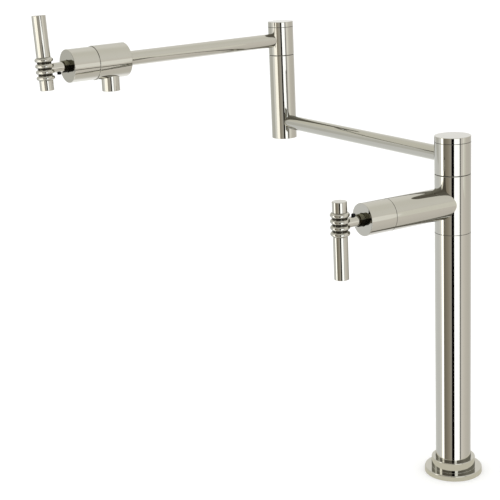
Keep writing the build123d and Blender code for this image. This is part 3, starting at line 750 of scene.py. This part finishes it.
def dressValve(name, valve, size):
    # From the seam outwards: bonnet, ringed neck, hub, beaded bar with rings of painted shade in
    # the crevices halfway between its beads, and the grub screw on the side of the bar's short end.
    seam, length, outer = valve["seam"], size["bonnetLength"], valve["bonnetRadius"]
    fixed, moving = valve["fixedBody"], valve["handleBody"]
    cavity, hole, edge = size["cavity"], size["neckHole"], size["bonnetEdge"]
    rows = [(0, cavity), (0, outer, edge), (length, outer, edge), (length, hole, size["holeEdge"])]
    inside = length - size["bonnetFloor"]
    rows += [(inside, hole), (inside, cavity)]
    nickelPiece(name + "Bonnet", seam, rows, fixed, name + "_bonnet")
    piece = turnedPiece(name + "NeckThread", seam, neckOutline(size), True, size["neckAround"])
    # The neck's rise marks its low side for painted shade.
    markRise(piece, seam["point"][2], size["neckRadius"])
    settle(piece, fixed, "dark_brass", finishes["darkNeck"])
    start, end, radius = size["hubStart"], size["barCentre"] - size["hubSeat"], size["hubRadius"]
    socket, socketEnd = size["hubSocket"], size["hubSocketEnd"]
    rows = [(socketEnd, 0, 0), (socketEnd, socket), (start, socket, size["hubSocketEdge"])]
    rows += [(start, radius, size["hubEdge"]), (end, radius), (end, 0, 0)]
    nickelPiece(name + "Hub", seam, rows, moving, name + "_handle_hub", False, smallSteps)
    bar = handleSeat(seam, valve["lean"], size["barCentre"])
    piece = turnedPiece(name + "Bar", bar, beadedOutline(size), False, size["barAround"])
    settle(piece, moving, "polished_nickel", nickel, name + "_handle_bar")
    centres = beadCentres(size)
    between = (centres[1:] + centres[:-1]) / 2
    radius, depth = size["barRadius"] + size["creviceRise"], size["creviceDepth"]
    # Painted shade: dark rings in the crevices between the beads stand in for the shade of the
    # hollows.
    piece = ringSet(name + "BeadCreviceShade", bar, between, size["crevice"], radius, depth)
    settle(piece, moving, "black_steel", finishes["beadShadow"])
    line = handleSeat(seam, valve["lean"] + 180, size["screwAt"])
    piece = screwPiece(name + "Screw", line, size)
    settle(piece, moving, "black_steel", finishes["blackSteel"], name + "_handle_screw")


for name, valve in valves.items():
    dressValve(name, valve, handleSettings)
print("valves and handles dressed")

# Painted shade: a dark ring in each groove where two bodies meet stands in for the shade in the gap
# between them
seamCut = {"sink": 0.02, "depth": 1.0}
seamSettings = {
    "columnTop": {"seat": column, "at": 251.0, "radius": 17.5, "width": 0.5, "body": "base"},
    "columnCap": {**swivels["column"], "at": capSeams["column"], "width": 0.5},
    "elbowCap": {**swivels["elbow"], "at": capSeams["elbow"], "width": 0.5},
    "lowerBonnet": {"seat": branch, "at": 0.0, "radius": 15.5, "width": 0.6, "body": "base"},
    "outletBonnet": {"seat": outlet, "at": 0.0, "radius": 16.7, "width": 0.7, "body": "upper_arm"},
}
for name, seam in seamSettings.items():
    seat, at, radius = seam["seat"], [seam["at"]], seam["radius"] - seamCut["sink"]
    piece = ringSet(name + "Seam", seat, at, seam["width"], radius, seamCut["depth"], roundSteps)
    # Each ring takes the painted seam shade.
    settle(piece, seam["body"], "black_rubber", finishes["paintedSeamShade"])
print("seams drawn:", len(seamSettings))

# Under the worktop: threaded shank, washers and nut
shankSettings = {
    "pitch": 1.814, "rowsPerTurn": 9, "threadDepth": 1.1, "threadTop": -0.5, "runOut": 1.6,
    "radius": 13.2, "bottom": -60.0, "top": 19.0, "edge": 1.0, "bore": 5.5,
    "noseRadius": 10.45, "noseEnd": -74.0, "noseStep": 0.1, "riserSocket": 6.4,
    "riserFoot": 3.0,
    "around": 96, "sharp": 40,
}


def threadedShank(size):
    # Radius = outline - depth x (1 - cos(2 pi distance / pitch - angle)) / 2, where the
    # depth rises from nothing at both ends of each threaded length.
    pitch, runOut = size["pitch"], size["runOut"]

    def threaded(start, end, radius):
        # Rows of (distance, radius, depth), so many to a turn.
        rows = int(abs(end - start) / pitch * size["rowsPerTurn"])
        distance = np.linspace(start, end, rows)
        edge = np.minimum(np.abs(distance - start), np.abs(distance - end)) / runOut
        depth = size["threadDepth"] * np.clip(edge, 0, 1)
        return np.stack([distance, np.full(len(distance), radius), depth], axis=1)

    def plain(*pairs):
        # Rows of (distance, radius) with no thread on them.
        return np.array([(distance, radius, 0.0) for distance, radius in pairs])

    radius, nose, bore = size["radius"], size["noseRadius"], size["bore"]
    bottom, top, edge = size["bottom"], size["top"], size["edge"]
    noseEnd, foot, socket = size["noseEnd"], size["riserFoot"], size["riserSocket"]
    parts = [
        plain((noseEnd, bore), (noseEnd, nose - edge)),
        threaded(noseEnd + edge, bottom - size["noseStep"], nose),
        plain((bottom, nose), (bottom, radius - edge)),
        threaded(bottom + edge, size["threadTop"], radius),
        plain((top - edge, radius), (top, radius - edge)),
        plain((top, socket), (foot, socket), (foot, bore)),
    ]
    rows, around = np.concatenate(parts), size["around"]
    angle = anglesRound(around)
    wave = (1 - np.cos(2 * math.pi * rows[:, :1] / pitch - angle[None])) / 2
    radius = rows[:, 1:2] - rows[:, 2:] * wave
    distance = np.broadcast_to(rows[:, :1], radius.shape)
    body = np.stack([radius * np.cos(angle), radius * np.sin(angle), distance], axis=-1)
    made = meshOf("shankThread", body, [gridFaces(len(rows), around, True)])
    return sharpened(made, size["sharp"])


settle(threadedShank(shankSettings), "base", "brass", finishes["freeCutBrass"], "threaded_shank")

nutSettings = {
    "flats": 19.0, "bottom": -43.6, "top": -34.6,
    "bore": 13.25, "boreEdge": 0.6, "faceEdge": 0.4, "bevelSlope": 0.5,
    "around": 144, "sharp": 20,
}


def mountingNut(size):
    # Hexagon radius = flats / cos(angle from the flat's middle). Each end is cut back by
    # the slope times how far the hexagon stands beyond its flats, as a turned bevel is.
    around, edge = size["around"], size["boreEdge"]
    angle = anglesRound(around)
    hexagon = hexagonRadius(angle, size["flats"])
    cut = size["bevelSlope"] * (hexagon - size["flats"] + size["faceEdge"])
    one = np.ones(around)
    bottom, top, bore = size["bottom"] * one, size["top"] * one, size["bore"] * one
    face = (size["flats"] - size["faceEdge"]) * one
    radius = np.stack([bore + edge, face, hexagon, hexagon, face, bore + edge, bore, bore])
    height = [bottom, bottom, bottom + cut, top - cut, top, top, top - edge, bottom + edge]
    body = np.stack([radius * np.cos(angle), radius * np.sin(angle), np.stack(height)], axis=-1)
    made = meshOf("mountingNut", body, [gridFaces(len(radius), around, True)])
    return sharpened(made, size["sharp"])


settle(mountingNut(nutSettings), "base", "brass", finishes["freeCutBrass"], "mounting_nut")

washerSettings = {
    "rubberWasher": {
        "tube": {"start": -33.0, "end": -30.0, "startEdge": 0.5, "endEdge": 0.5},
        "finish": "blackRubber", "node": "rubber_washer", "slot": "black_rubber",
    },
    "steelWasher": {
        "tube": {"start": -34.6, "end": -33.0, "startEdge": 0.25, "endEdge": 0.25},
        "finish": "zincSteel", "node": "steel_washer", "slot": "steel",
    },
}
washerRadii = {"radius": 23.0, "bore": 13.25}
for name, washer in washerSettings.items():
    outline = easedOutline(tubeRows(**washer["tube"], **washerRadii), True)
    piece = turnedPiece(name, column, outline, True)
    settle(piece, "base", washer["slot"], finishes[washer["finish"]], washer["node"])
print("fasteners dressed")

# Finishes on the CAD nodes that show as they are
nodeFinishes = {
    "flange_gasket": "blackRubber",
    "riser_tube": "freeCutBrass",
    "flow_straightener": "greyPlastic",
}
swivelFinishes = {
    "spigot": "freeCutBrass",
    "spigot_orings": "blackRubber",
    "swivel_washer": "slipRing",
    "retaining_ring": "zincSteel",
}
valveFinishes = {
    "cartridge_body": "dullBrass",
    "cartridge_orings": "blackRubber",
    "cartridge_stem": "freeCutBrass",
    "stem_oring": "blackRubber",
    "fixed_disc": "whiteCeramic",
    "turning_disc": "whiteCeramic",
    "seat_seal": "blackRubber",
}
for owners, partFinishes in ((swivels, swivelFinishes), (valves, valveFinishes)):
    for owner in owners:
        nodeFinishes.update({owner + "_" + part: finish for part, finish in partFinishes.items()})
for node, finish in nodeFinishes.items():
    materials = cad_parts[node].data.materials
    materials.clear()
    materials.append(finishes[finish])
shown = [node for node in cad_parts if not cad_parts[node].hide_render]
left = [node for node in shown if node not in nodeFinishes]
print("CAD nodes finished:", len(nodeFinishes), "left over:", left)

# Floor
floorSettings = {
    "half": 14000.0,
    "albedo": (0.93, 0.93, 0.925), "lift": 0.02,
    "roughness": 0.9, "specular": 0.1,
    "patches": {"Scale": 3, "Contrast": 1},
}
half = floorSettings["half"]
corners = [(-half, -half, 0), (half, -half, 0), (half, half, 0), (-half, half, 0)]
oneQuad = [np.array([[0, 1, 2, 3]])]
floor = meshOf("studioFloor", corners, oneQuad)
roughness, specular = floorSettings["roughness"], floorSettings["specular"]
values = {"Roughness": roughness, "Specular IOR Level": specular}
floorMaterial, paper, paperShader = newMaterial("palePaper", values)
grain = useGroup(paper, mottle, **floorSettings["patches"])
lighter = tuple(tone + floorSettings["lift"] for tone in floorSettings["albedo"])
paperTones = twoTones(paper, grain, floorSettings["albedo"], lighter)
feed(paper, paperShader, {"Base Color": paperTones})
floor.data.materials.append(floorMaterial)
floor.visible_glossy = False

# The studio round the object, by direction from the camera's side: 0 is towards the camera
# and positive to its right. Each stop is (degrees, tone). The low walls fill what lies below
# the horizon, because the floor shows in no reflection, and fade into the high ones up to
# about 25 degrees above it.
lowWalls = [
    (-180, (0.92, 0.92, 0.92)), (-163, (0.92, 0.93, 0.92)), (-154, (0.66, 0.67, 0.67)),
    (-120, (0.60, 0.61, 0.61)), (-98, (0.60, 0.605, 0.605)), (-88, (0.66, 0.66, 0.65)),
    (-78, (0.74, 0.74, 0.72)), (-62, (0.76, 0.75, 0.72)), (-59, (0.17, 0.155, 0.125)),
    (-44, (0.215, 0.195, 0.155)), (-28, (0.28, 0.25, 0.20)), (-10, (0.37, 0.35, 0.31)),
    (20, (0.36, 0.345, 0.325)), (43, (0.20, 0.195, 0.185)), (51, (0.20, 0.195, 0.185)),
    (54, (0.70, 0.68, 0.655)), (72, (0.64, 0.61, 0.57)), (92, (0.57, 0.545, 0.51)),
    (126, (0.53, 0.51, 0.475)), (146, (0.58, 0.565, 0.55)), (160, (0.72, 0.71, 0.71)),
    (180, (0.92, 0.92, 0.92)),
]
highWalls = [
    (-180, (0.70, 0.69, 0.66)), (-166, (0.66, 0.655, 0.62)), (-150, (0.59, 0.58, 0.53)),
    (-132, (0.60, 0.59, 0.53)), (-110, (0.58, 0.57, 0.51)), (-80, (0.50, 0.49, 0.46)),
    (-50, (0.30, 0.28, 0.25)), (0, (0.40, 0.39, 0.36)), (50, (0.42, 0.41, 0.38)),
    (75, (0.645, 0.635, 0.60)), (100, (0.615, 0.605, 0.56)), (130, (0.62, 0.61, 0.565)),
    (155, (0.68, 0.67, 0.63)), (180, (0.70, 0.69, 0.66)),
]
# Starts and ends are heights of a direction of length 1; straight up and straight down
# both take the zenith's tone. The again shares say how much dimmer a wall or a soft box
# is in a second reflection.
skySettings = {
    "highStart": 0.03, "highEnd": 0.42,
    "zenithStart": 0.80, "zenithEnd": 0.95, "zenith": (0.60, 0.59, 0.54),
    "dayFill": (1.2, 1.2, 1.2),
    "againShare": 0.72, "boxAgainShare": 0.2, "againTone": (0.03, 0.028, 0.02),
    "betweenMirrors": 1.5,
}


def rampByAzimuth(tree, share, stops):
    # The tone between two stops changes evenly with the share of the turn, which is
    # degrees / 360 + 0.5. Tones come after all places, because marks sort themselves.
    ramp = addNode(tree, "ShaderNodeValToRGB", {"Fac": share})
    marks = ramp.color_ramp.elements
    while len(marks) < len(stops):
        marks.new(0.5)
    for mark, (degrees, _) in zip(marks, stops):
        mark.position = degrees / 360 + 0.5
    for mark, (_, tone) in zip(marks, stops):
        mark.color = (*tone, 1)
    return ramp.outputs["Color"]


def seenAgain(tree, share):
    # The share where the ray has met metal twice, and else 0.
    lightPath = addNode(tree, "ShaderNodeLightPath")
    mirrors = lightPath.outputs["Glossy Depth"]
    again = mathNode(tree, "GREATER_THAN", mirrors, skySettings["betweenMirrors"])
    return lightPath, mathNode(tree, "MULTIPLY", again, share)


world = bpy.data.worlds.new("studio")
bpy.context.scene.world = world
world.use_nodes = True
sky = world.node_tree
sky.nodes.clear()
turning = {
    "Vector": addNode(sky, "ShaderNodeTexCoord").outputs["Generated"],
    "Angle": -math.radians(places["cameraAzimuth"]),
}
turned = addNode(sky, "ShaderNodeVectorRotate", turning, rotation_type="Z_AXIS")
split = addNode(sky, "ShaderNodeSeparateXYZ", {0: turned.outputs[0]})
azimuth = mathNode(sky, "ARCTAN2", split.outputs[1], split.outputs[0])
share = mathNode(sky, "ADD", mathNode(sky, "DIVIDE", azimuth, 2 * math.pi), 0.5)
height = split.outputs[2]
raised = softStep(sky, height, skySettings["highStart"], skySettings["highEnd"])
low, high = rampByAzimuth(sky, share, lowWalls), rampByAzimuth(sky, share, highWalls)
walls = mixTones(sky, raised, low, high)
steep = mathNode(sky, "ABSOLUTE", height)
steep = softStep(sky, steep, skySettings["zenithStart"], skySettings["zenithEnd"])
studio = mixTones(sky, steep, walls, skySettings["zenith"])
lightPath, again = seenAgain(sky, skySettings["againShare"])
studio = mixTones(sky, again, studio, skySettings["againTone"])
# Only mirrored rays see the walls; the others get an even fill.
lit = mixTones(sky, lightPath.outputs["Is Glossy Ray"], skySettings["dayFill"], studio)
glow = addNode(sky, "ShaderNodeBackground", {"Color": lit})
addNode(sky, "ShaderNodeOutputWorld", {"Surface": glow.outputs[0]})
print("studio walls set")

# Tall soft boxes and cards: their ends are (towards the camera, to its right) on the
# ground, and their span goes from the lowest to the highest point.
softBoxes = {
    "leftSoftBox": {
        "ends": ((285, -1060), (288, -512)), "span": (-600, 560),
        "glow": 1.0, "tint": (1.0, 0.99, 0.95),
    },
    "rightSoftBox": {
        "ends": ((930, 100), (1500, 1428)), "span": (-1100, 560),
        "glow": 1.12, "tint": (0.91, 0.945, 1.0),
    },
}
cards = {
    "blackCard": {
        "ends": ((893, -124), (911, 146)), "span": (-600, 480),
        "tone": (0.002, 0.002, 0.002),
    },
    "farCard": {
        "ends": ((150, 1540), (440, 1540)), "span": (-80, 650),
        "tone": (0.69, 0.68, 0.62),
    },
    "farRightCard": {
        "ends": ((440, 1540), (700, 1540)), "span": (-80, 650),
        "tone": (0.81, 0.80, 0.76),
    },
    "leftCard": {
        "ends": ((-900, -900), (-110, -900)), "span": (130, 470),
        "tone": (0.50, 0.50, 0.475),
    },
}
discCard = {"radius": 56.0, "height": 0.05, "around": 96, "tone": (0.60, 0.58, 0.50)}
cardLook = {"dimmest": 0.97, "patches": {"Scale": 2, "Contrast": 1}}
turn = math.radians(places["cameraAzimuth"])
toCamera = np.array([math.cos(turn), math.sin(turn), 0])
toRight = np.array([-math.sin(turn), math.cos(turn), 0])


def groundPoint(pair):
    # First share x direction to the camera + second x direction to its right.
    return pair[0] * toCamera + pair[1] * toRight


def placeSoftBox(name, box):
    # An upright lamp over its two ends, facing the upright axis at the origin. Its power
    # is glow x pi x its area, which makes it as bright as a wall of that tone.
    first, second = groundPoint(box["ends"][0]), groundPoint(box["ends"][1])
    width, rise = np.linalg.norm(second - first), box["span"][1] - box["span"][0]
    lamp = bpy.data.lights.new(name, "AREA")
    lamp.shape = "RECTANGLE"
    lamp.size, lamp.size_y = width * metre, rise * metre
    lamp.color = box["tint"]
    lamp.energy = box["glow"] * math.pi * width * rise * metre**2
    lamp.use_nodes = True
    tree = lamp.node_tree
    again = seenAgain(tree, skySettings["boxAgainShare"])[1]
    feed(tree, tree.nodes["Emission"], {"Strength": mathNode(tree, "SUBTRACT", 1.0, again)})
    placed = bpy.data.objects.new(name, lamp)
    bpy.context.scene.collection.objects.link(placed)
    side = unit(second - first)
    back = np.cross(side, (0, 0, 1))
    back = back if back @ (first + second) > 0 else -back
    upwards = np.cross(back, side)
    turnedTo = Matrix((side, upwards, back)).transposed().to_4x4()
    middle = (first + second) / 2 + np.array([0, 0, sum(box["span"]) / 2])
    placed.matrix_world = Matrix.Translation(middle * metre) @ turnedTo
    placed.visible_camera = False


def finishCard(card, tone):
    # A card glows evenly in its tone and shows only in reflections.
    values = {"Base Color": (0, 0, 0), "Roughness": 1, "Specular IOR Level": 0}
    material, tree, shader = newMaterial(card.name, {**values, "Emission Strength": 1})
    grain = useGroup(tree, mottle, **cardLook["patches"])
    dimmer = tuple(share * cardLook["dimmest"] for share in tone)
    feed(tree, shader, {"Emission Color": twoTones(tree, grain, dimmer, tone)})
    card.data.materials.append(material)
    for flag in ("visible_camera", "visible_diffuse", "visible_transmission", "visible_shadow"):
        setattr(card, flag, False)


for name, box in softBoxes.items():
    placeSoftBox(name, box)
for name, card in cards.items():
    first, second = groundPoint(card["ends"][0]), groundPoint(card["ends"][1])
    bottom, top = [np.array([0, 0, height]) for height in card["span"]]
    corners = [first + bottom, second + bottom, second + top, first + top]
    finishCard(meshOf(name, corners, oneQuad), card["tone"])
seat = level(discCard["height"])
rim = seat["point"] + discCard["radius"] * circleOf(seat, discCard["around"])
disc = meshOf("floorGlow", rim, [np.arange(discCard["around"])[None]])
finishCard(disc, discCard["tone"])
print("floor, light and cards set")
